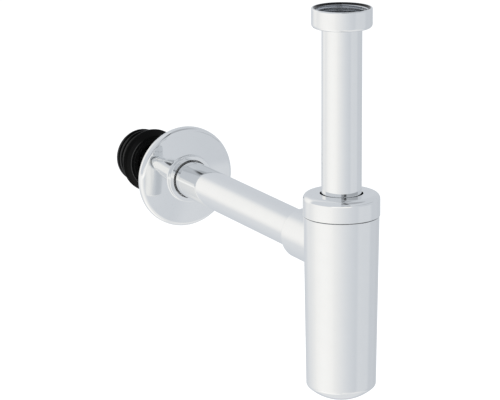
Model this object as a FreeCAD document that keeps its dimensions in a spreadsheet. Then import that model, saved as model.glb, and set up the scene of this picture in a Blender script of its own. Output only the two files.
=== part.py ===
import FreeCAD, Part
import math
import os
import Sketcher

# Bottle trap for a wash basin. Origin: centre of the inlet thread's mouth, just below the nut's rim.
# +Z is up the inlet pipe, +Y runs along the outlet pipe towards the wall. Millimetres.

os.makedirs("parts", exist_ok=True)
doc = FreeCAD.newDocument("basin_trap")

# Driving sizes

SIZES = (
    ("pipe_radius", "16.0", "outside of both 32 mm tubes"),
    ("pipe_wall", "1.0", "wall of both tubes"),
    ("free_gap", "0.3", "radial gap round a tube that moves in metal"),
    ("seal_gap", "0.08", "radial running gap between a tube and its rubber"),
    ("nut_height", "15.8", "height of the inlet nut"),
    ("nut_rim_round", "0.8", "rounding of the nut's top edge"),
    ("nut_low_round", "3.0", "rounding of the nut's lower edge"),
    ("nut_ledge", "2.5", "floor of the nut, under the flange"),
    ("thread_radius", "20.95", "root of the inch and a quarter pipe thread"),
    ("nut_wall", "3.15", "wall of the round inlet nut outside its thread"),
    ("thread_depth", "1.48", "height of the pipe thread's ridges"),
    ("thread_lead", "1.5", "chamfer from the thread's mouth up to the nut's rim"),
    ("thread_relief", "0.6", "depth of the undercut below the thread"),
    ("gasket_room", "0.2", "thread ends this far above the gasket"),
    ("inlet_ring_thick", "1.0", "slip ring on the nut's ledge"),
    ("flange_thick", "1.2", "flange turned out of the inlet pipe"),
    ("gasket_thick", "2.0", "flat gasket on the flange"),
    ("inlet_length", "283.5", "thread's mouth down to the dip end of the inlet pipe"),
    ("cap_drop", "147.4", "thread's mouth down to the cap's top face"),
    ("cap_proud", "0.6", "how far the screw cap stands out beyond the bottle's shoulder"),
    ("cap_height", "18.0", "height of the screw cap"),
    ("cap_top_thick", "4.7", "plate of the cap"),
    ("cap_top_round", "4.8", "rounding from the cap's top face down to its side"),
    ("cap_wall", "2.9", "skirt of the cap"),
    ("cap_hole_gap", "1.2", "open ring between the inlet pipe and the cap"),
    ("cap_thread_depth", "1.0", "height of the ridges between cap and neck"),
    ("cap_edge_round", "0.5", "rounding of the cap's hole, and 0.6 of it at the seam"),
    ("cap_ring_thick", "1.2", "slip ring under the cap's plate"),
    ("cap_ring_width", "5.0", "width of that ring, inward from the neck's edge"),
    ("seal_thick", "3.0", "flat part of the pipe seal"),
    ("seal_lip_length", "4.5", "lip of the pipe seal below its flat part"),
    ("seal_lip_thick", "1.5", "tip of that lip"),
    ("seal_lip_root", "3.4", "root of that lip"),
    ("seam_gap", "0.4", "open line between cap and bottle"),
    ("neck_wall", "2.4", "threaded neck of the bottle"),
    ("neck_band", "4.0", "how far the neck's inside runs below the shoulder"),
    ("bottle_top_radius", "30.2", "bottle at its shoulder"),
    ("bottle_taper", "2.2", "how much narrower the bottle is at its bottom edge"),
    ("bottle_wall", "2.0", "wall of the bottle"),
    ("bottle_length", "139.8", "shoulder to bottom edge"),
    ("dome_depth", "11.9", "bulge of the bottom below its edge"),
    ("bottle_low_round", "4.4", "rounding of the bottom edge"),
    ("shoulder_round", "0.4", "rounding of the bottle's shoulder"),
    ("outlet_drop", "195.2", "thread's mouth down to the outlet axis"),
    ("collar_wall", "2.6", "wall of the outlet collar round its O-ring grooves"),
    ("collar_reach", "64.5", "inlet axis to the end of the collar"),
    ("collar_round", "1.0", "rounding of the collar's end"),
    ("socket_stop", "36.0", "inlet axis to the step that stops the outlet pipe"),
    ("socket_lead", "0.7", "chamfer at the socket's mouth"),
    ("outlet_start", "42.0", "inlet axis to the near end of the outlet pipe"),
    ("outlet_end", "383.0", "inlet axis to the far end of the outlet pipe"),
    ("oring_depth", "2.4", "depth of an O-ring groove beyond the pipe"),
    ("oring_groove_width", "3.0", "width of an O-ring groove"),
    ("oring_inset", "4.2", "collar's end to the middle of the outer groove"),
    ("oring_pitch", "5.4", "distance between the two grooves"),
    ("rosette_radius", "44.3", "outside of the rosette's disc"),
    ("rosette_back_at", "288.6", "inlet axis to the wall that the disc lies on"),
    ("rosette_edge", "5.2", "depth of the disc's edge, its rounding included"),
    ("rosette_edge_round", "4.0", "rounding of that edge"),
    ("rosette_dome_rise", "3.85", "how far the domed face rises from the edge to the neck"),
    ("rosette_wall", "1.6", "metal of the disc, hollow behind"),
    ("rosette_neck_length", "5.15", "neck in front of the domed face"),
    ("rosette_neck_round", "0.7", "rounding of the neck's front edge"),
    ("rosette_foot_round", "0.8", "rounding between neck and disc"),
    ("grip_room", "2.9", "radial room for the grip ring round the pipe"),
    ("grip_seat_wall", "1.7", "neck's wall round the grip ring"),
    ("grip_seat_depth", "5.0", "front of the neck to the end of the grip ring's seat"),
    ("grip_lip", "1.2", "lip in front that hides the grip ring"),
    ("grip_lip_gap", "1.1", "open ring between that lip and the pipe"),
    ("outlet_tail", "3.0", "outlet pipe that stands out behind the wall seal"),
    ("wall_seal_length", "32.0", "length of the wall seal"),
    ("wall_flange_radius", "28.4", "edge of the wall seal's flange"),
    ("wall_face_radius", "24.0", "flat front of the flange"),
    ("wall_flange_slope", "6.5", "depth of the flange's sloped front"),
    ("wall_flange_edge", "1.6", "width of the flange's edge"),
    ("wall_flange_back", "2.4", "depth of the flange's sloped back"),
    ("wall_sleeve_radius", "21.6", "sleeve behind the flange"),
    ("wall_lip_radius", "24.2", "tips of the sealing lips"),
    ("wall_lip_count", "3", "sealing lips"),
    ("wall_lip_pitch", "6.2", "distance between lips"),
    ("wall_lip_land", "1.5", "width of a lip's tip"),
    ("wall_lip_slope", "2.2", "depth of a lip's sloped back"),
    ("wall_lip_front", "1.0", "depth of a lip's front"),
    ("wall_lip_inset", "1.6", "last lip to the end of the seal"),
    ("wall_bore_lead", "1.2", "chamfer at the seal's bore"),
)

sheet = doc.addObject("Spreadsheet::Sheet", "Sizes")
for row, (alias, text, note) in enumerate(SIZES, 1):
    sheet.set(f"A{row}", alias)
    sheet.set(f"B{row}", text)
    sheet.set(f"C{row}", note)
    sheet.setAlias(f"B{row}", alias)
doc.recompute()


class Length:
    """Millimetres, together with the sheet expression that gives them."""

    def __init__(self, value, text):
        self.value = value
        self.text = text

    def join(self, other, sign, value):
        return Length(value, f"({self.text} {sign} {other.text})")

    def __add__(self, other):
        return self.join(other, "+", self.value + other.value)

    def __sub__(self, other):
        return self.join(other, "-", self.value - other.value)

    def __neg__(self):
        return Length(-self.value, f"(-{self.text})")

    def times(self, factor):
        return Length(self.value * factor, f"({self.text} * {factor})")


def size(alias):
    return Length(float(sheet.get(alias)), f"Sizes.{alias}")


ZERO = Length(0.0, "0")

# Levels and radii that pieces share. Heights are world Z on the inlet axis,
# distances are world Y on the outlet axis.

pipe = size("pipe_radius")
pipe_bore = pipe - size("pipe_wall")
slide_hole = pipe + size("free_gap")
seal_hole = pipe + size("seal_gap")

nut_rim = size("thread_lead")
nut_bottom = nut_rim - size("nut_height")
ledge_top = nut_bottom + size("nut_ledge")
inlet_ring_top = ledge_top + size("inlet_ring_thick")
flange_top = inlet_ring_top + size("flange_thick")
gasket_top = flange_top + size("gasket_thick")
thread_low = gasket_top + size("gasket_room")
thread = size("thread_radius")
nut_outside = thread + size("nut_wall")
relief = thread + size("thread_relief")
# the ridges themselves are left out, and the flange has to pass inside their crests
flange = thread - size("thread_depth") - size("free_gap")

cap_top = -size("cap_drop")
cap_low = cap_top - size("cap_height")
cap_ceiling = cap_top - size("cap_top_thick")
cap_outside = size("bottle_top_radius") + size("cap_proud")
cap_inside = cap_outside - size("cap_wall")
cap_ring_low = cap_ceiling - size("cap_ring_thick")
neck_top = cap_ring_low - size("seal_thick")
# cap and neck both stand at the root of their thread, so the ridges have their room between them
neck = cap_inside - size("cap_thread_depth") - size("free_gap")
neck_inside = neck - size("neck_wall")
shoulder = cap_low - size("seam_gap")
bottle_edge = shoulder - size("bottle_length")
bottle_low = bottle_edge - size("dome_depth")
bottle_low_radius = size("bottle_top_radius") - size("bottle_taper")

outlet_axis = -size("outlet_drop")
collar_end = size("collar_reach")
oring_seat = pipe + size("oring_depth")
collar_outside = oring_seat + size("collar_wall")
oring_outer_at = collar_end - size("oring_inset")
oring_inner_at = oring_outer_at - size("oring_pitch")

disc_back = size("rosette_back_at")
disc_edge = disc_back - size("rosette_edge")
disc_foot = disc_edge - size("rosette_dome_rise")
rosette_front = disc_foot - size("rosette_neck_length")
grip_seat = pipe + size("grip_room")
grip_seat_end = rosette_front + size("grip_seat_depth")

seal_end = size("outlet_end") - size("outlet_tail")
seal_front = seal_end - size("wall_seal_length")

# Ways of building

ALONG_Y = FreeCAD.Rotation(FreeCAD.Vector(1, 0, 0), -90)


def origin_plane(body, role):
    return next(item for item in body.Origin.OriginFeatures if item.Role == role)


def new_body(name, on_outlet=False):
    """A body on the inlet axis, or turned so that its own Z is the outlet axis."""
    body = doc.addObject("PartDesign::Body", name)
    body.Label = name
    if on_outlet:
        body.Placement = FreeCAD.Placement(FreeCAD.Vector(0, 0, outlet_axis.value), ALONG_Y)
        body.setExpression("Placement.Base.z", outlet_axis.text)
    return body


def new_sketch(body, name, role):
    sketch = body.newObject("Sketcher::SketchObject", name)
    sketch.AttachmentSupport = [(origin_plane(body, role), "")]
    sketch.MapMode = "FlatFace"
    return sketch


def hold(sketch, kind, first, second, length):
    """A dimension from the sketch's origin to a point, driven by the sheet."""
    index = sketch.addConstraint(Sketcher.Constraint(kind, -1, 1, first, second, length.value))
    sketch.setExpression(f"Constraints[{index}]", length.text)


def draw(sketch, points, dome=None):
    """A closed outline through points of (across, up).

    The side that starts at the point numbered dome is an arc centred on the upright axis,
    which bulges down and comes in towards that axis.
    """
    count = len(points)
    places = [FreeCAD.Vector(across.value, up.value, 0) for across, up in points]
    for i in range(count):
        a, b = places[i], places[(i + 1) % count]
        if i == dome:
            middle = (a.x**2 + a.y**2 - b.x**2 - b.y**2) / (2 * (a.y - b.y))
            radius = math.hypot(b.x, b.y - middle)
            circle = Part.Circle(FreeCAD.Vector(0, middle, 0), FreeCAD.Vector(0, 0, 1), radius)
            turns = [math.atan2(end.y - middle, end.x) for end in (b, a)]
            # an arc runs anticlockwise from its first point, which is the lower one here
            sketch.addGeometry(Part.ArcOfCircle(circle, *turns))
        else:
            sketch.addGeometry(Part.LineSegment(a, b))

    def start(i):
        return 2 if i == dome else 1

    def end(i):
        return 1 if i == dome else 2

    for i in range(count):
        after = (i + 1) % count
        sketch.addConstraint(Sketcher.Constraint("Coincident", i, end(i), after, start(after)))
    if dome is not None:
        sketch.addConstraint(Sketcher.Constraint("PointOnObject", dome, 3, -2))
    for i, (across, up) in enumerate(points):
        hold(sketch, "DistanceX", i, start(i), across)
        hold(sketch, "DistanceY", i, start(i), up)
    doc.recompute()


def turned(body, name, points, dome=None, kind="PartDesign::Revolution"):
    """Adds or cuts the solid that an outline sweeps round the body's Z."""
    sketch = new_sketch(body, name + "_outline", "XZ_Plane")
    draw(sketch, points, dome)
    feature = body.newObject(kind, name)
    feature.Profile = sketch
    feature.ReferenceAxis = (sketch, ["V_Axis"])
    feature.Angle = 360
    body.Tip = feature
    doc.recompute()
    return feature


def circles_at(feature, wanted):
    """Names of the feature's circular edges with the wanted radii and centres."""
    names = []
    for radius, centre in wanted:
        found = []
        for number, edge in enumerate(feature.Shape.Edges, 1):
            if edge.Degenerated:
                continue
            curve = edge.Curve
            if curve.TypeId != "Part::GeomCircle" or abs(curve.Radius - radius) > 1e-3:
                continue
            if curve.Center.distanceToPoint(FreeCAD.Vector(*centre)) < 1e-3:
                found.append(f"Edge{number}")
        if not found:
            raise RuntimeError(f"{feature.Name}: no edge of radius {radius} at {centre}")
        names += found
    return names


def rounded(body, feature, name, radius, rings, kind="PartDesign::Fillet"):
    """Rounds or bevels the edges that lie at (radius, height) on the body's Z."""
    wanted = [(ring.value, (0, 0, height.value)) for ring, height in rings]
    edges = circles_at(feature, wanted)
    result = body.newObject(kind, name)
    result.Base = (feature, edges)
    if kind == "PartDesign::Fillet":
        result.Radius = radius.value
        result.setExpression("Radius", radius.text)
    else:
        result.Size = radius.value
        result.setExpression("Size", radius.text)
    body.Tip = result
    doc.recompute()
    return result


def washer(name, inside, outside, low, high, on_outlet=False):
    body = new_body(name, on_outlet)
    turned(body, name + "_turned", [(inside, low), (outside, low), (outside, high), (inside, high)])
    return body


def rubber_ring(name, inside, outside, at):
    """An O-ring round the outlet axis."""
    ring = doc.addObject("Part::Torus", name)
    ring.Label = name
    section = (outside - inside).times(0.5)
    middle = (outside + inside).times(0.5)
    ring.Placement = FreeCAD.Placement(FreeCAD.Vector(0, at.value, outlet_axis.value), ALONG_Y)
    ring.setExpression("Radius1", middle.text)
    ring.setExpression("Radius2", section.text)
    ring.setExpression("Placement.Base.y", at.text)
    ring.setExpression("Placement.Base.z", outlet_axis.text)
    doc.recompute()
    return ring


# Inlet nut: round union nut with a pipe thread, an undercut for the flange and a ledge

nut = new_body("inlet_union_nut")
nut_turned = turned(nut, "nut_turned", [
    (slide_hole, nut_bottom),
    (nut_outside, nut_bottom),
    (nut_outside, nut_rim),
    (thread + size("thread_lead"), nut_rim),
    (thread, ZERO),
    (thread, thread_low),
    (relief, thread_low),
    (relief, ledge_top),
    (slide_hole, ledge_top),
])
nut_low = rounded(nut, nut_turned, "nut_low_edge", size("nut_low_round"),
                  [(nut_outside, nut_bottom)])
rounded(nut, nut_low, "nut_rim", size("nut_rim_round"), [(nut_outside, nut_rim)])

washer("inlet_slip_ring", slide_hole, flange, ledge_top, inlet_ring_top)

# Inlet pipe: flanged at the top, its lower end dips into the bottle's water

inlet = new_body("inlet_pipe")
inlet_turned = turned(inlet, "inlet_turned", [
    (pipe_bore, -size("inlet_length")),
    (pipe, -size("inlet_length")),
    (pipe, inlet_ring_top),
    (flange, inlet_ring_top),
    (flange, flange_top),
    (pipe_bore, flange_top),
])
rounded(inlet, inlet_turned, "flange_flare", size("pipe_wall").times(0.7), [(pipe_bore, flange_top)])

washer("inlet_gasket", pipe_bore, flange, flange_top, gasket_top)

# Cap: screws on the bottle's neck and presses the seal through a slip ring

cap_hole = pipe + size("cap_hole_gap")
cap = new_body("bottle_cap")
cap_turned = turned(cap, "cap_turned", [
    (cap_hole, cap_ceiling),
    (cap_hole, cap_top),
    (cap_outside, cap_top),
    (cap_outside, cap_low),
    (cap_inside, cap_low),
    (cap_inside, cap_ceiling),
])
cap_rim = rounded(cap, cap_turned, "cap_rim", size("cap_top_round"), [(cap_outside, cap_top)])
cap_hole_edge = rounded(cap, cap_rim, "cap_hole_edge", size("cap_edge_round"), [(cap_hole, cap_top)])
rounded(cap, cap_hole_edge, "cap_seam_edge", size("cap_edge_round").times(0.6),
        [(cap_outside, cap_low)], kind="PartDesign::Chamfer")

washer("cap_slip_ring", neck - size("cap_ring_width"), neck, cap_ring_low, cap_ceiling)

# Pipe seal: flat washer clamped on the neck's rim, with a lip down the pipe

seal = new_body("pipe_seal")
lip_end = neck_top - size("seal_lip_length")
turned(seal, "seal_turned", [
    (seal_hole, lip_end),
    (seal_hole + size("seal_lip_thick"), lip_end),
    (seal_hole + size("seal_lip_root"), neck_top),
    (neck, neck_top),
    (neck, cap_ring_low),
    (seal_hole, cap_ring_low),
])

# Bottle: tapered shell with a domed bottom, a threaded neck and the outlet collar

bottle = new_body("bottle_body")
bottle_turned = turned(bottle, "bottle_turned", [
    (ZERO, neck_top),
    (neck, neck_top),
    (neck, shoulder),
    (size("bottle_top_radius"), shoulder),
    (bottle_low_radius, bottle_edge),
    (ZERO, bottle_low),
], dome=4)
bottle_bottom = rounded(bottle, bottle_turned, "bottle_bottom_edge", size("bottle_low_round"),
                        [(bottle_low_radius, bottle_edge)])
rounded(bottle, bottle_bottom, "bottle_shoulder", size("shoulder_round"),
        [(size("bottle_top_radius"), shoulder)])

collar_sketch = new_sketch(bottle, "collar_circle", "XZ_Plane")
collar_sketch.addGeometry(Part.Circle(
    FreeCAD.Vector(0, outlet_axis.value, 0), FreeCAD.Vector(0, 0, 1), collar_outside.value))
collar_sketch.addConstraint(Sketcher.Constraint("PointOnObject", 0, 3, -2))
hold(collar_sketch, "DistanceY", 0, 3, outlet_axis)
collar_radius_index = collar_sketch.addConstraint(
    Sketcher.Constraint("Radius", 0, collar_outside.value))
collar_sketch.setExpression(f"Constraints[{collar_radius_index}]", collar_outside.text)
collar = bottle.newObject("PartDesign::Pad", "collar")
collar.Profile = collar_sketch
collar.Reversed = True
collar.setExpression("Length", collar_end.text)
bottle.Tip = collar
doc.recompute()
if collar.Shape.BoundBox.YMax < collar_end.value - 0.01:
    raise RuntimeError("the collar points away from the wall")

collar_edge = bottle.newObject("PartDesign::Fillet", "collar_end_edge")
collar_edge.Base = (collar, circles_at(
    collar, [(collar_outside.value, (0, collar_end.value, outlet_axis.value))]))
collar_edge.setExpression("Radius", size("collar_round").text)
bottle.Tip = collar_edge
doc.recompute()

wall = size("bottle_wall")
band_low = shoulder - size("neck_band")
solid_volume = bottle.Shape.Volume
turned(bottle, "chamber", [
    (ZERO, neck_top),
    (neck_inside, neck_top),
    (neck_inside, band_low),
    (size("bottle_top_radius") - wall, band_low - size("neck_wall")),
    (bottle_low_radius - wall, bottle_edge),
    (ZERO, bottle_low + wall),
], dome=4, kind="PartDesign::Groove")
shell_volume = bottle.Shape.Volume

# Socket inside the collar: water way, stop, two O-ring grooves and a bevelled mouth

socket_sketch = new_sketch(bottle, "socket_outline", "YZ_Plane")
socket_sketch.AttachmentOffset = FreeCAD.Placement(
    FreeCAD.Vector(0, outlet_axis.value, 0), FreeCAD.Rotation())
socket_sketch.setExpression("AttachmentOffset.Base.y", outlet_axis.text)
half_groove = size("oring_groove_width").times(0.5)
socket_stop = size("socket_stop")
draw(socket_sketch, [
    (ZERO, ZERO),
    (ZERO, pipe_bore),
    (socket_stop, pipe_bore),
    (socket_stop, slide_hole),
    (oring_inner_at - half_groove, slide_hole),
    (oring_inner_at - half_groove, oring_seat),
    (oring_inner_at + half_groove, oring_seat),
    (oring_inner_at + half_groove, slide_hole),
    (oring_outer_at - half_groove, slide_hole),
    (oring_outer_at - half_groove, oring_seat),
    (oring_outer_at + half_groove, oring_seat),
    (oring_outer_at + half_groove, slide_hole),
    (collar_end - size("socket_lead"), slide_hole),
    (collar_end, slide_hole + size("socket_lead")),
    (collar_end, ZERO),
])
socket = bottle.newObject("PartDesign::Groove", "socket")
socket.Profile = socket_sketch
socket.ReferenceAxis = (socket_sketch, ["H_Axis"])
socket.Angle = 360
bottle.Tip = socket
doc.recompute()
if not solid_volume > shell_volume > bottle.Shape.Volume:
    raise RuntimeError("the chamber or the socket cut nothing")

rubber_ring("outlet_oring_inner", seal_hole, oring_seat, oring_inner_at)
rubber_ring("outlet_oring_outer", seal_hole, oring_seat, oring_outer_at)

# Outlet pipe: plain tube from the socket into the wall seal

washer("outlet_pipe", pipe_bore, pipe, size("outlet_start"), size("outlet_end"), on_outlet=True)

# Rosette: covers the hole in the wall. A domed face with a rounded edge, hollow behind, and a neck
# round the pipe whose lip hides the grip ring

neck_out = grip_seat + size("grip_seat_wall")
rosette_wall = size("rosette_wall")
rosette_inside = size("rosette_radius") - rosette_wall
rosette_mouth = pipe + size("grip_lip_gap")
lip_back = rosette_front + size("grip_lip")
rosette = new_body("wall_rosette", on_outlet=True)
rosette_turned = turned(rosette, "rosette_turned", [
    (slide_hole, grip_seat_end),
    (slide_hole, disc_foot + rosette_wall),
    (neck_out, disc_foot + rosette_wall),
    (rosette_inside, disc_edge + rosette_wall),
    (rosette_inside, disc_back),
    (size("rosette_radius"), disc_back),
    (size("rosette_radius"), disc_edge),
    (neck_out, disc_foot),
    (neck_out, rosette_front),
    (rosette_mouth, rosette_front),
    (rosette_mouth, lip_back),
    (grip_seat, lip_back),
    (grip_seat, grip_seat_end),
], dome=6)
rosette_edge = rounded(rosette, rosette_turned, "rosette_disc_edge", size("rosette_edge_round"),
                       [(size("rosette_radius"), disc_edge)])
rosette_shell = rounded(rosette, rosette_edge, "rosette_inner_edge",
                        size("rosette_edge_round") - rosette_wall,
                        [(rosette_inside, disc_edge + rosette_wall)])
rosette_foot = rounded(rosette, rosette_shell, "rosette_foot", size("rosette_foot_round"),
                       [(neck_out, disc_foot)])
rounded(rosette, rosette_foot, "rosette_neck_edge", size("rosette_neck_round"),
        [(neck_out, rosette_front)])

grip_outside = grip_seat - size("seal_gap")
grip_section = (grip_outside - seal_hole).times(0.5)
rubber_ring("rosette_grip_ring", seal_hole, grip_outside,
            grip_seat_end - grip_section - size("seal_gap"))

# Wall seal: rubber sleeve with a sloped flange in front and a row of sealing lips

sleeve = size("wall_sleeve_radius")
flange_edge = size("wall_flange_radius")
slope_end = seal_front + size("wall_flange_slope")
edge_end = slope_end + size("wall_flange_edge")
back_end = edge_end + size("wall_flange_back")
lead = size("wall_bore_lead")
wall_seal = new_body("wall_seal", on_outlet=True)
turned(wall_seal, "sleeve_turned", [
    (seal_hole, seal_front + lead),
    (seal_hole + lead, seal_front),
    (size("wall_face_radius"), seal_front),
    (flange_edge, slope_end),
    (flange_edge, edge_end),
    (sleeve, back_end),
    (sleeve, seal_end),
    (seal_hole, seal_end),
])
tip = size("wall_lip_radius")
last_tip_end = seal_end - size("wall_lip_inset")
tip_start = last_tip_end - size("wall_lip_land")
lip = turned(wall_seal, "sealing_lip", [
    (sleeve - lead, tip_start - size("wall_lip_front")),
    (sleeve, tip_start - size("wall_lip_front")),
    (tip, tip_start),
    (tip, last_tip_end),
    (sleeve, seal_end),
    (sleeve - lead, seal_end),
])
one_lip_volume = wall_seal.Shape.Volume
lips = wall_seal.newObject("PartDesign::LinearPattern", "sealing_lips")
lips.Originals = [lip]
lips.Direction = (origin_plane(wall_seal, "XY_Plane"), [""])
lips.Reversed = True
lip_count = int(size("wall_lip_count").value)
lips.setExpression("Occurrences", "Sizes.wall_lip_count")
lips.setExpression("Length", "Sizes.wall_lip_pitch * (Sizes.wall_lip_count - 1)")
wall_seal.Tip = lips
doc.recompute()
if lip_count > 1 and not wall_seal.Shape.Volume > one_lip_volume:
    raise RuntimeError("the sealing lips were not repeated")

# Checks and files

for item in doc.Objects:
    if "Invalid" in item.State or "Error" in item.State:
        raise RuntimeError(f"{item.Name} failed: {item.State}")

NODES = (
    "inlet_union_nut", "inlet_slip_ring", "inlet_gasket", "inlet_pipe",
    "bottle_cap", "cap_slip_ring", "pipe_seal", "bottle_body",
    "outlet_oring_inner", "outlet_oring_outer", "outlet_pipe",
    "wall_rosette", "rosette_grip_ring", "wall_seal",
)
for node in NODES:
    shape = doc.getObject(node).Shape
    if shape.isNull() or not shape.isValid() or len(shape.Solids) != 1:
        raise RuntimeError(f"{node}: not one valid solid")
for node in NODES:
    shape = doc.getObject(node).Shape
    box = shape.BoundBox
    print(f"{node}: {shape.Volume / 1000:.2f} cm3, x {box.XMin:.1f} to {box.XMax:.1f}, "
          f"y {box.YMin:.1f} to {box.YMax:.1f}, z {box.ZMin:.1f} to {box.ZMax:.1f}")
    shape.exportStep(f"parts/{node}.step")
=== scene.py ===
import math

import bmesh
import bpy
from mathutils import Matrix, Vector


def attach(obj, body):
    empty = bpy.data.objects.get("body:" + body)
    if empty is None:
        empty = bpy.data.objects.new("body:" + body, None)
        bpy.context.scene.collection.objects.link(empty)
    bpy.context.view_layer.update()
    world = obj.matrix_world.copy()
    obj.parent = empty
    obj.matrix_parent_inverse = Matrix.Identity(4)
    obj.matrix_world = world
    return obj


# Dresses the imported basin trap: finishes for every solid, the screw threads that the solids leave out,
# a pale floor, a soft studio and the camera. Lengths are metres in the CAD frame.

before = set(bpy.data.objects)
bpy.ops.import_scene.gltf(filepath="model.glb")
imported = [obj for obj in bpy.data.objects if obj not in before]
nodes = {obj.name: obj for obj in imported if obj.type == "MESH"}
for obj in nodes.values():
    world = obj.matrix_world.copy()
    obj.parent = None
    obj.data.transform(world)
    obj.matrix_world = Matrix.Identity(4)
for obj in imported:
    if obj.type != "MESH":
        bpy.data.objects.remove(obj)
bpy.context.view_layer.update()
MM = 0.001
OUTLET_Z = -195.2 * MM


# Node helpers

class Tree:
    """Adds shader nodes to one node tree and links them."""

    def __init__(self, tree):
        self.tree = tree
        tree.nodes.clear()

    def add(self, kind, **settings):
        node = self.tree.nodes.new(kind)
        for name, value in settings.items():
            setattr(node, name, value)
        return node

    def feed(self, socket, value):
        """Links value if it is another node's socket, and otherwise sets it, unless it is None."""
        if isinstance(value, bpy.types.NodeSocket):
            self.tree.links.new(value, socket)
        elif value is not None:
            socket.default_value = value

    def math(self, operation, a, b=None, c=None):
        node = self.add("ShaderNodeMath", operation=operation)
        for socket, value in zip(node.inputs, (a, b, c)):
            self.feed(socket, value)
        return node.outputs[0]

    def product(self, first, *others):
        for other in others:
            first = self.math("MULTIPLY", first, other)
        return first

    def vector(self, operation, a, b=None, scale=None):
        node = self.add("ShaderNodeVectorMath", operation=operation)
        self.feed(node.inputs[0], a)
        self.feed(node.inputs[1], b)
        if scale is not None:
            self.feed(node.inputs["Scale"], scale)
        return node.outputs["Value"] if operation == "DOT_PRODUCT" else node.outputs[0]

    def ramp(self, value, low, high, to_low=0.0, to_high=1.0):
        """Smooth step of value from low to high."""
        node = self.add("ShaderNodeMapRange", interpolation_type="SMOOTHSTEP")
        for name, number in (("Value", value), ("From Min", low), ("From Max", high),
                             ("To Min", to_low), ("To Max", to_high)):
            self.feed(node.inputs[name], number)
        return node.outputs["Result"]

    def fall(self, value, low, high):
        """1 where value is under low, 0 where it is over high, and a smooth step between."""
        return self.ramp(value, low, high, 1.0, 0.0)

    def band(self, value, low, high, soft):
        """1 where value lies between low and high, and 0 outside, with edges soft to either side."""
        return self.product(self.ramp(value, low - soft, low + soft),
                            self.fall(value, high - soft, high + soft))

    def about_axis(self, place, axis):
        """The x, the height and the distance from the inlet's axis, "z", or from the outlet's, "y"."""
        parts = self.add("ShaderNodeSeparateXYZ")
        self.feed(parts.inputs[0], place)
        x, y, z = parts.outputs
        other = y if axis == "z" else self.math("SUBTRACT", z, OUTLET_Z)
        squares = self.math("ADD", self.math("MULTIPLY", x, x), self.math("MULTIPLY", other, other))
        return x, z, self.math("SQRT", squares)

    def noise(self, place, scale, detail, roughness):
        node = self.add("ShaderNodeTexNoise")
        self.feed(node.inputs["Vector"], place)
        node.inputs["Scale"].default_value = scale
        node.inputs["Detail"].default_value = detail
        node.inputs["Roughness"].default_value = roughness
        return node.outputs[0]

    def mix(self, factor, a, b):
        node = self.add("ShaderNodeMix", data_type="RGBA")
        self.feed(node.inputs[0], factor)
        self.feed(node.inputs[6], a)
        self.feed(node.inputs[7], b)
        return node.outputs[2]

    def mix_shader(self, factor, a, b):
        node = self.add("ShaderNodeMixShader")
        for socket, value in zip(node.inputs, (factor, a, b)):
            self.feed(socket, value)
        return node.outputs[0]

    def bump(self, height, distance, strength=1.0):
        node = self.add("ShaderNodeBump")
        node.inputs["Strength"].default_value = strength
        node.inputs["Distance"].default_value = distance
        self.feed(node.inputs["Height"], height)
        return node.outputs[0]


def material(name):
    """A node material with its tree, its Principled shader and the object's own coordinates."""
    made = bpy.data.materials.new(name)
    made.use_nodes = True
    tree = Tree(made.node_tree)
    shader = tree.add("ShaderNodeBsdfPrincipled")
    output = tree.add("ShaderNodeOutputMaterial")
    tree.feed(output.inputs["Surface"], shader.outputs[0])
    place = tree.add("ShaderNodeTexCoord").outputs["Object"]
    return made, tree, shader, place


def grey(level, tint=(1.0, 1.0, 1.0)):
    return (level * tint[0], level * tint[1], level * tint[2], 1.0)


# Finishes

COOL = (0.985, 0.995, 1.0)
PLATE = (grey(0.865, COOL), grey(0.90, COOL))
BARE_BRASS = ((0.50, 0.47, 0.42, 1.0), (0.62, 0.58, 0.52, 1.0))
BARE_NICKEL = ((0.58, 0.60, 0.63, 1.0), (0.72, 0.74, 0.77, 1.0))
# the grey of the painted dark reflection at the top of the nut's bore
DARK_REFLECTION_GREY = grey(0.03)
# the greys and the added roughness of the painted shade along the cap's joint line
SEAM_SHADE_GREYS = (grey(0.28), grey(0.38))
SEAM_SHADE_ROUGH = 0.2
BORE_EDGE = (0.15 * MM, 0.35 * MM)
DARK_REFLECTION_SOFT = 0.1 * MM
# the soft edge of the painted shade along the joint line
SEAM_SHADE_SOFT = 0.04 * MM
# the soft edge of the rubber's painted highlight rings
SHEEN_RING_SOFT = 0.2 * MM
FINE_SHARE = 0.004
FINE_BUMP = 0.03 * MM
GRAIN_BUMP = 0.04 * MM
RUBBER_SHINE = 0.06
TALC_GAIN = 1.9


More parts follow.
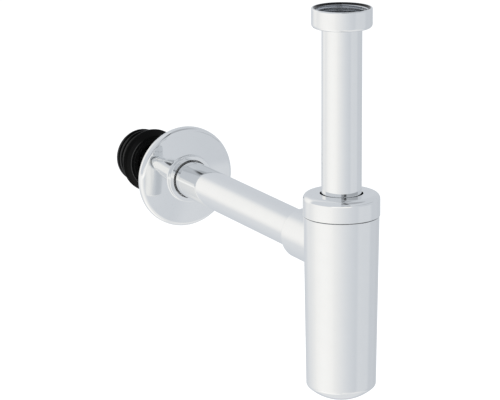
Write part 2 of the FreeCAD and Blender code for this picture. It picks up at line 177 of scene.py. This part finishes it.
def chrome(name, axis, bore=None, drawn=BARE_BRASS, drawn_rough=0.28, dark_reflection_from=None, seam_shade=None):
    """Polished chrome plate on brass, with faint waves of polishing.

    axis is the tube's own axis, "z" or "y". Inside the radius bore the metal is unplated: the two colours
    of drawn, and drawn_rough more roughness. Above the height dark_reflection_from it is painted near
    black, a painted dark reflection. seam_shade is a lowest height, a highest height and a least radius:
    there a band of painted shade darkens and dulls the joint line.
    """
    made, tree, shader, place = material(name)
    wave = tree.noise(place, scale=38.0, detail=2.0, roughness=0.4)
    cloud = tree.noise(place, scale=90.0, detail=5.0, roughness=0.6)
    fine = tree.noise(place, scale=2600.0, detail=2.0, roughness=0.5)
    colour = tree.mix(cloud, *PLATE)
    rough = tree.ramp(cloud, 0.25, 0.8, to_low=0.03, to_high=0.055)
    relief = tree.math("ADD", wave, tree.math("MULTIPLY", fine, FINE_SHARE))
    if bore is not None or seam_shade is not None:
        _, height, radius = tree.about_axis(place, axis)
    if bore is not None:
        inside = tree.fall(radius, bore + BORE_EDGE[0], bore + BORE_EDGE[1])
        bare = tree.mix(cloud, *drawn)
        # painted dark reflection: above that height the unplated bore is painted near black
        if dark_reflection_from is not None:
            above = tree.ramp(height, dark_reflection_from - DARK_REFLECTION_SOFT, dark_reflection_from + DARK_REFLECTION_SOFT)
            bare = tree.mix(above, bare, DARK_REFLECTION_GREY)
        colour = tree.mix(inside, colour, bare)
        rough = tree.math("ADD", rough, tree.math("MULTIPLY", inside, drawn_rough))
    # painted shade: a darker, duller band along the joint line between cap and bottle
    if seam_shade is not None:
        low, high, least = seam_shade
        seam_shaded = tree.product(tree.band(height, low, high, SEAM_SHADE_SOFT),
                              tree.ramp(radius, least - SEAM_SHADE_SOFT, least + SEAM_SHADE_SOFT))
        colour = tree.mix(seam_shaded, colour, tree.mix(cloud, *SEAM_SHADE_GREYS))
        rough = tree.math("ADD", rough, tree.math("MULTIPLY", seam_shaded, SEAM_SHADE_ROUGH))
    tree.feed(shader.inputs["Base Color"], colour)
    shader.inputs["Metallic"].default_value = 1.0
    tree.feed(shader.inputs["Roughness"], rough)
    tree.feed(shader.inputs["Normal"], tree.bump(relief, FINE_BUMP))
    return made


def rubber(name, base, rough, sheen_rings=()):
    """Moulded rubber: a fine matt grain with faint smears of talc.

    base is its grey and rough its mean roughness. sheen_rings are painted highlights: rings round the
    outlet axis, each an inner radius, an outer radius and its grey, on the side towards -X, where the light
    falls.
    """
    made, tree, shader, place = material(name)
    grain = tree.noise(place, scale=3200.0, detail=3.0, roughness=0.6)
    smear = tree.noise(place, scale=55.0, detail=6.0, roughness=0.65)
    talc = tree.ramp(smear, 0.55, 0.8)
    colour = tree.mix(talc, grey(base), grey(base * TALC_GAIN))
    # painted highlight: lighter rings on the side towards -X, broken up by the grain
    if sheen_rings:
        x, _, radius = tree.about_axis(place, "y")
        side = tree.fall(tree.math("DIVIDE", x, radius), -0.85, -0.45)
        sheen_grain = tree.ramp(grain, 0.25, 0.75, to_low=0.6, to_high=1.0)
        for inner, outer, shade in sheen_rings:
            share = tree.product(tree.band(radius, inner, outer, SHEEN_RING_SOFT), side, sheen_grain)
            colour = tree.mix(share, colour, grey(shade))
    tree.feed(shader.inputs["Base Color"], colour)
    tree.feed(shader.inputs["Roughness"], tree.ramp(smear, 0.2, 0.8, rough - 0.08, rough + 0.12))
    shader.inputs["Specular IOR Level"].default_value = RUBBER_SHINE
    tree.feed(shader.inputs["Normal"], tree.bump(grain, GRAIN_BUMP, 0.5))
    return made


def moulded_plastic(name):
    """Dull dark grey plastic with a fine grain."""
    made, tree, shader, place = material(name)
    grain = tree.noise(place, scale=1500.0, detail=3.0, roughness=0.6)
    cloud = tree.noise(place, scale=120.0, detail=3.0, roughness=0.5)
    tree.feed(shader.inputs["Base Color"], tree.mix(cloud, grey(0.10), grey(0.14)))
    tree.feed(shader.inputs["Roughness"], tree.ramp(cloud, 0.2, 0.8, to_low=0.42, to_high=0.58))
    tree.feed(shader.inputs["Normal"], tree.bump(grain, FINE_BUMP, 0.5))
    return made


# the radii inside which a wall is unplated, the height above which the nut's bore is painted near black as
# a painted dark reflection, and the place of the painted shade along the joint line under the cap
NUT_BORE = 22.5 * MM
TUBE_BORE = 15.0 * MM
NUT_DARK_REFLECTION_FROM = -0.1 * MM
SEAM = (-165.97 * MM, -165.13 * MM)
CAP_SEAM_RADIUS = 30.4 * MM
BOTTLE_SEAM_RADIUS = 29.8 * MM
# the wall seal's painted highlight rings, each an inner radius, an outer radius and its grey
SEAL_SHEEN_RINGS = ((23.6 * MM, 24.2 * MM, 0.075), (24.3 * MM, 26.4 * MM, 0.007), (20.6 * MM, 21.4 * MM, 0.012))

finishes = {
    # the top of the nut's bore is painted near black, a painted dark reflection
    "inlet_union_nut": chrome("chrome_nut", "z", bore=NUT_BORE, drawn=BARE_NICKEL, drawn_rough=0.03,
                              dark_reflection_from=NUT_DARK_REFLECTION_FROM),
    "inlet_pipe": chrome("chrome_inlet_tube", "z", bore=TUBE_BORE),
    # painted shade: a darker, duller band on the cap and the bottle along their joint line
    "bottle_cap": chrome("chrome_cap", "z", seam_shade=(*SEAM, CAP_SEAM_RADIUS)),
    "bottle_body": chrome("chrome_bottle", "z", seam_shade=(*SEAM, BOTTLE_SEAM_RADIUS)),
    "outlet_pipe": chrome("chrome_outlet_tube", "y", bore=TUBE_BORE),
    "wall_rosette": chrome("chrome_rosette", "y"),
    "wall_seal": rubber("rubber_wall_seal", base=0.0018, rough=0.42, sheen_rings=SEAL_SHEEN_RINGS),
    "inlet_gasket": rubber("rubber_gasket", base=0.006, rough=0.6),
    "pipe_seal": rubber("rubber_pipe_seal", base=0.004, rough=0.5),
    "outlet_oring_inner": rubber("rubber_oring_inner", base=0.004, rough=0.4),
    "outlet_oring_outer": rubber("rubber_oring_outer", base=0.004, rough=0.4),
    "rosette_grip_ring": rubber("rubber_grip_ring", base=0.50, rough=0.4),
    "inlet_slip_ring": moulded_plastic("plastic_inlet_ring"),
    "cap_slip_ring": moulded_plastic("plastic_cap_ring"),
}
for name, finish in finishes.items():
    mesh = nodes[name].data
    mesh.materials.clear()
    mesh.materials.append(finish)


# Screw threads

TURN_POINTS = 128
ROWS_A_PITCH = 22
LEAST_ROWS = 8
BACK_GAP = 0.02 * MM
RUN_IN = 0.5


def ridge(phase, flat=0.16, flank=0.30):
    """Height of a thread's rounded ridge, 0 to 1, at a phase of its pitch."""
    away = abs((phase + 0.5) % 1.0 - 0.5)
    t = min(max((away - flat / 2) / flank, 0.0), 1.0)
    return 1.0 - t * t * (3.0 - 2.0 * t)


def thread(name, body, finish, low, high, root, depth, pitch, inward, lead=0.0, phase=0.0):
    """A sleeve whose threaded side winds round the inlet axis from low to high, right-handed.

    root is the wall's radius that the sleeve lies on, and inward says which way the ridges point. They
    grow and fade over RUN_IN of a pitch. With a lead they are bevelled at the top: no ridge is higher
    than lead times its way down from high.
    """
    rows = max(LEAST_ROWS, int((high - low) / pitch * ROWS_A_PITCH))
    back = root + (BACK_GAP if inward else -BACK_GAP)
    turns = [2 * math.pi * p / TURN_POINTS for p in range(TURN_POINTS)]
    mesh = bmesh.new()
    rings = []
    for row in range(rows + 1):
        z = low + (high - low) * row / rows
        ring = []
        for turn in turns:
            rise = ridge((z - low) / pitch - turn / (2 * math.pi) + phase)
            run_in = min((z - low) / (RUN_IN * pitch), (high - z) / (RUN_IN * pitch), 1.0)
            height = depth * rise * max(run_in, 0.0)
            if lead:
                height = min(height, max(high - z, 0.0) * lead)
            radius = root - height if inward else root + height
            ring.append(mesh.verts.new((radius * math.cos(turn), radius * math.sin(turn), z)))
        rings.append(ring)
    back_rings = [[mesh.verts.new((back * math.cos(turn), back * math.sin(turn), z)) for turn in turns]
                  for z in (low, high)]
    rings += [back_rings[1], back_rings[0]]
    for a, b in zip(rings, rings[1:] + rings[:1]):
        for p in range(TURN_POINTS):
            q = (p + 1) % TURN_POINTS
            mesh.faces.new((a[p], a[q], b[q], b[p]))
    bmesh.ops.recalc_face_normals(mesh, faces=mesh.faces)
    data = bpy.data.meshes.new(name)
    mesh.to_mesh(data)
    mesh.free()
    data.shade_smooth()
    data.materials.append(finish)
    piece = bpy.data.objects.new(name, data)
    bpy.context.scene.collection.objects.link(piece)
    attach(piece, body)


PIPE_PITCH = 2.309 * MM
CAP_PITCH = 2.0 * MM
# the cap's ridges lie half a pitch from the neck's, and its sleeve starts a tenth of a pitch higher
CAP_PHASE = 0.5 + 0.1
thread("inlet_thread_ridges", "inlet_nut", finishes["inlet_union_nut"], low=-7.35 * MM, high=-0.02 * MM,
       root=20.93 * MM, depth=1.42 * MM, pitch=PIPE_PITCH, inward=True, lead=1.0)
thread("neck_thread_ridges", "bottle", finishes["bottle_body"], low=-165.2 * MM, high=-156.7 * MM,
       root=26.62 * MM, depth=1.0 * MM, pitch=CAP_PITCH, inward=False)
thread("cap_thread_ridges", "cap", finishes["bottle_cap"], low=-165.0 * MM, high=-157.4 * MM,
       root=27.88 * MM, depth=1.0 * MM, pitch=CAP_PITCH, inward=True, phase=CAP_PHASE)


# Studio, a surround that the chrome mirrors, with a floor and two lamps that it doesn't

ROOM_TONE = 0.66
DIM_TINT = (0.957, 1.0, 1.06, 1.0)
BRIGHT_TINT = (1.02, 1.01, 0.99, 1.0)
PLAIN_COLOUR = (0.96, 0.98, 1.0, 1.0)
PLAIN_STRENGTH = 0.55
WHITE = grey(1.0)


def direction(azimuth, elevation=0.0):
    """Unit vector; azimuth is degrees from +X towards +Y."""
    a = math.radians(azimuth)
    e = math.radians(elevation)
    return (math.cos(a) * math.cos(e), math.sin(a) * math.cos(e), math.sin(e))


def studio():
    """Mirrors see a room, the camera sees white, and all else is lit by a plain pale grey."""
    world = bpy.data.worlds.new("studio")
    bpy.context.scene.world = world
    world.use_nodes = True
    tree = Tree(world.node_tree)
    way = tree.vector("NORMALIZE", tree.add("ShaderNodeTexCoord").outputs["Generated"])
    parts = tree.add("ShaderNodeSeparateXYZ")
    tree.feed(parts.inputs[0], way)
    up = parts.outputs["Z"]
    level = tree.vector("NORMALIZE", tree.vector("MULTIPLY", way, (1.0, 1.0, 0.0)))

    def towards(azimuth, elevation=None):
        """Cosine between the way looked and a direction, on the level where elevation is None."""
        if elevation is None:
            return tree.vector("DOT_PRODUCT", level, direction(azimuth))
        return tree.vector("DOT_PRODUCT", way, direction(azimuth, elevation))

    def near(azimuth, edge, full, elevation=None):
        """A window that opens from the cosine edge to the cosine full, round a direction."""
        return tree.ramp(towards(azimuth, elevation), edge, full)

    def above(low, high):
        """A window that opens upwards, from the sine low of the elevation to the sine high."""
        return tree.ramp(up, low, high)

    def below(low, high):
        """A window that closes upwards, from the sine low of the elevation to the sine high."""
        return tree.fall(up, low, high)

    def add_light(tone, amount, *windows):
        return tree.math("MULTIPLY_ADD", tree.product(*windows), amount, tone)

    def background(colour, strength=1.0):
        node = tree.add("ShaderNodeBackground")
        tree.feed(node.inputs["Color"], colour)
        node.inputs["Strength"].default_value = strength
        return node.outputs[0]

    # the lit table at the left, with a brighter sheet in its middle, and the greyer wall above it
    left = towards(184.0)
    lobe = tree.math("POWER", tree.math("MULTIPLY_ADD", left, 0.5, 0.5), 2.4)
    table = add_light(1.0, -0.85, above(-0.09, 0.03), near(-168.0, 0.40, 0.70))
    tone = add_light(ROOM_TONE, 0.335, lobe, table)
    tone = add_light(tone, 0.02, tree.ramp(left, 0.80, 0.90), table)
    # the table close under the object, where the lit table's own light doesn't reach
    tone = add_light(tone, 0.13, below(-0.74, -0.60), tree.fall(towards(-150.0), 0.70, 0.88))
    # a weak low panel at the right, and the darker end of the table behind the object
    tone = add_light(tone, 0.07, near(-43.0, 0.87, 0.97), below(-0.2, -0.12))
    tone = add_light(tone, -0.035, near(45.0, 0.80, 0.95, elevation=-20.0))
    # the lit wall behind, left of the object
    tone = add_light(tone, 0.18, near(117.0, 0.87, 0.99, elevation=9.0))
    # a lit band at the height of the table in front
    tone = add_light(tone, 0.22, near(-118.0, 0.83, 0.92), above(-0.175, -0.12), below(0.08, 0.16))
    # the dim room above that band, with a dark doorway at its left
    line = tree.product(above(0.20, 0.225), below(0.265, 0.29))
    dim_heights = tree.math("ADD", line, above(0.70, 0.76))
    dim = add_light(1.0, -0.33, near(-58.0, 0.62, 0.74), dim_heights)
    dim = add_light(dim, -0.55, near(-105.0, 0.955, 0.980), above(0.20, 0.225),
                    tree.math("MULTIPLY_ADD", dim_heights, 0.6, 0.4), below(0.97, 0.995))
    tone = tree.math("MULTIPLY", tone, dim)
    # dim parts are cooler than bright ones
    tint = tree.mix(tree.ramp(tone, 0.62, 1.0), DIM_TINT, BRIGHT_TINT)
    mirrored = background(tree.vector("SCALE", tint, scale=tone))

    path = tree.add("ShaderNodeLightPath")
    glossy = tree.math("MAXIMUM", path.outputs["Is Glossy Ray"], path.outputs["Is Transmission Ray"])
    lit = tree.mix_shader(glossy, background(PLAIN_COLOUR, PLAIN_STRENGTH), mirrored)
    shown = tree.mix_shader(path.outputs["Is Camera Ray"], lit, background(WHITE))
    output = tree.add("ShaderNodeOutputWorld")
    tree.feed(output.inputs["Surface"], shown)


FLOOR_CENTRE = (0.0, 0.19, -0.62)
FLOOR_RADIUS = 6.0
FLOOR_GLOW = 0.60


def floor():
    """A round pale floor that reads as white to the camera and keeps the object's shadow."""
    mesh = bmesh.new()
    bmesh.ops.create_circle(mesh, cap_ends=True, radius=FLOOR_RADIUS, segments=96)
    data = bpy.data.meshes.new("floor")
    mesh.to_mesh(data)
    mesh.free()
    piece = bpy.data.objects.new("floor", data)
    piece.location = FLOOR_CENTRE
    bpy.context.scene.collection.objects.link(piece)
    made, tree, shader, place = material("pale_floor")
    cloud = tree.noise(place, scale=6.0, detail=3.0, roughness=0.5)
    tree.feed(shader.inputs["Base Color"], tree.mix(cloud, grey(0.80), grey(0.82)))
    shader.inputs["Roughness"].default_value = 0.9
    shader.inputs["Specular IOR Level"].default_value = 0.0
    glow = tree.add("ShaderNodeEmission")
    path = tree.add("ShaderNodeLightPath")
    tree.feed(glow.inputs["Strength"], tree.math("MULTIPLY", path.outputs["Is Camera Ray"], FLOOR_GLOW))
    both = tree.add("ShaderNodeAddShader")
    tree.feed(both.inputs[0], shader.outputs[0])
    tree.feed(both.inputs[1], glow.outputs[0])
    output = next(n for n in tree.tree.nodes if n.type == "OUTPUT_MATERIAL")
    tree.feed(output.inputs["Surface"], both.outputs[0])
    data.materials.append(made)
    piece.visible_glossy = False


LAMP_AIM = (0.0, 0.15, -0.2)
LAMP_SIDE = 1.6


def softbox(name, place, watts):
    light = bpy.data.lights.new(name, "AREA")
    light.shape = "RECTANGLE"
    light.size = LAMP_SIDE
    light.size_y = LAMP_SIDE
    light.energy = watts
    lamp = bpy.data.objects.new(name, light)
    lamp.location = place
    lamp.rotation_euler = (Vector(LAMP_AIM) - Vector(place)).to_track_quat("-Z", "Y").to_euler()
    lamp.visible_glossy = False
    bpy.context.scene.collection.objects.link(lamp)


studio()
floor()
softbox("key", place=(-1.9, -1.2, 1.7), watts=34.0)
softbox("fill", place=(1.8, -1.6, 1.2), watts=10.0)


# Camera, placed by the pinhole fit to the photograph

# YAW, PITCH and ROLL are radians, and FOCAL, the photograph's size and its axis are pixels
YAW = -0.4678
PITCH = 0.2458
ROLL = -0.0053
FOCAL = 3003.7
PHOTO_WIDE = 500.0
PHOTO_TALL = 400.0
AXIS_X = 249.65
AXIS_Y = 200.3
CAMERA_PLACE = (-1.10596, -2.02771, 0.42592)
SENSOR_MM = 36.0


def photo_camera():
    """The fitted camera, turned a little so that its axis goes through the middle of the picture."""
    back = Vector((math.sin(YAW) * math.cos(PITCH), -math.cos(YAW) * math.cos(PITCH), math.sin(PITCH)))
    right = Vector((math.cos(YAW), math.sin(YAW), 0.0))
    up = back.cross(right)
    right, up = (math.cos(ROLL) * right + math.sin(ROLL) * up,
                 math.cos(ROLL) * up - math.sin(ROLL) * right)
    off_x = (PHOTO_WIDE / 2 - AXIS_X) / FOCAL
    off_y = (AXIS_Y - PHOTO_TALL / 2) / FOCAL
    back = (back - right * off_x - up * off_y).normalized()
    right = up.cross(back).normalized()
    up = back.cross(right)
    data = bpy.data.cameras.new("photo_camera")
    data.sensor_width = SENSOR_MM
    data.lens = FOCAL / PHOTO_WIDE * SENSOR_MM
    data.clip_start = 0.05
    data.clip_end = 50.0
    camera = bpy.data.objects.new("photo_camera", data)
    turn = Matrix((right, up, back)).transposed()
    camera.matrix_world = Matrix.Translation(CAMERA_PLACE) @ turn.to_4x4()
    bpy.context.scene.collection.objects.link(camera)
    bpy.context.scene.camera = camera


photo_camera()
bpy.context.scene.view_settings.view_transform = "Standard"
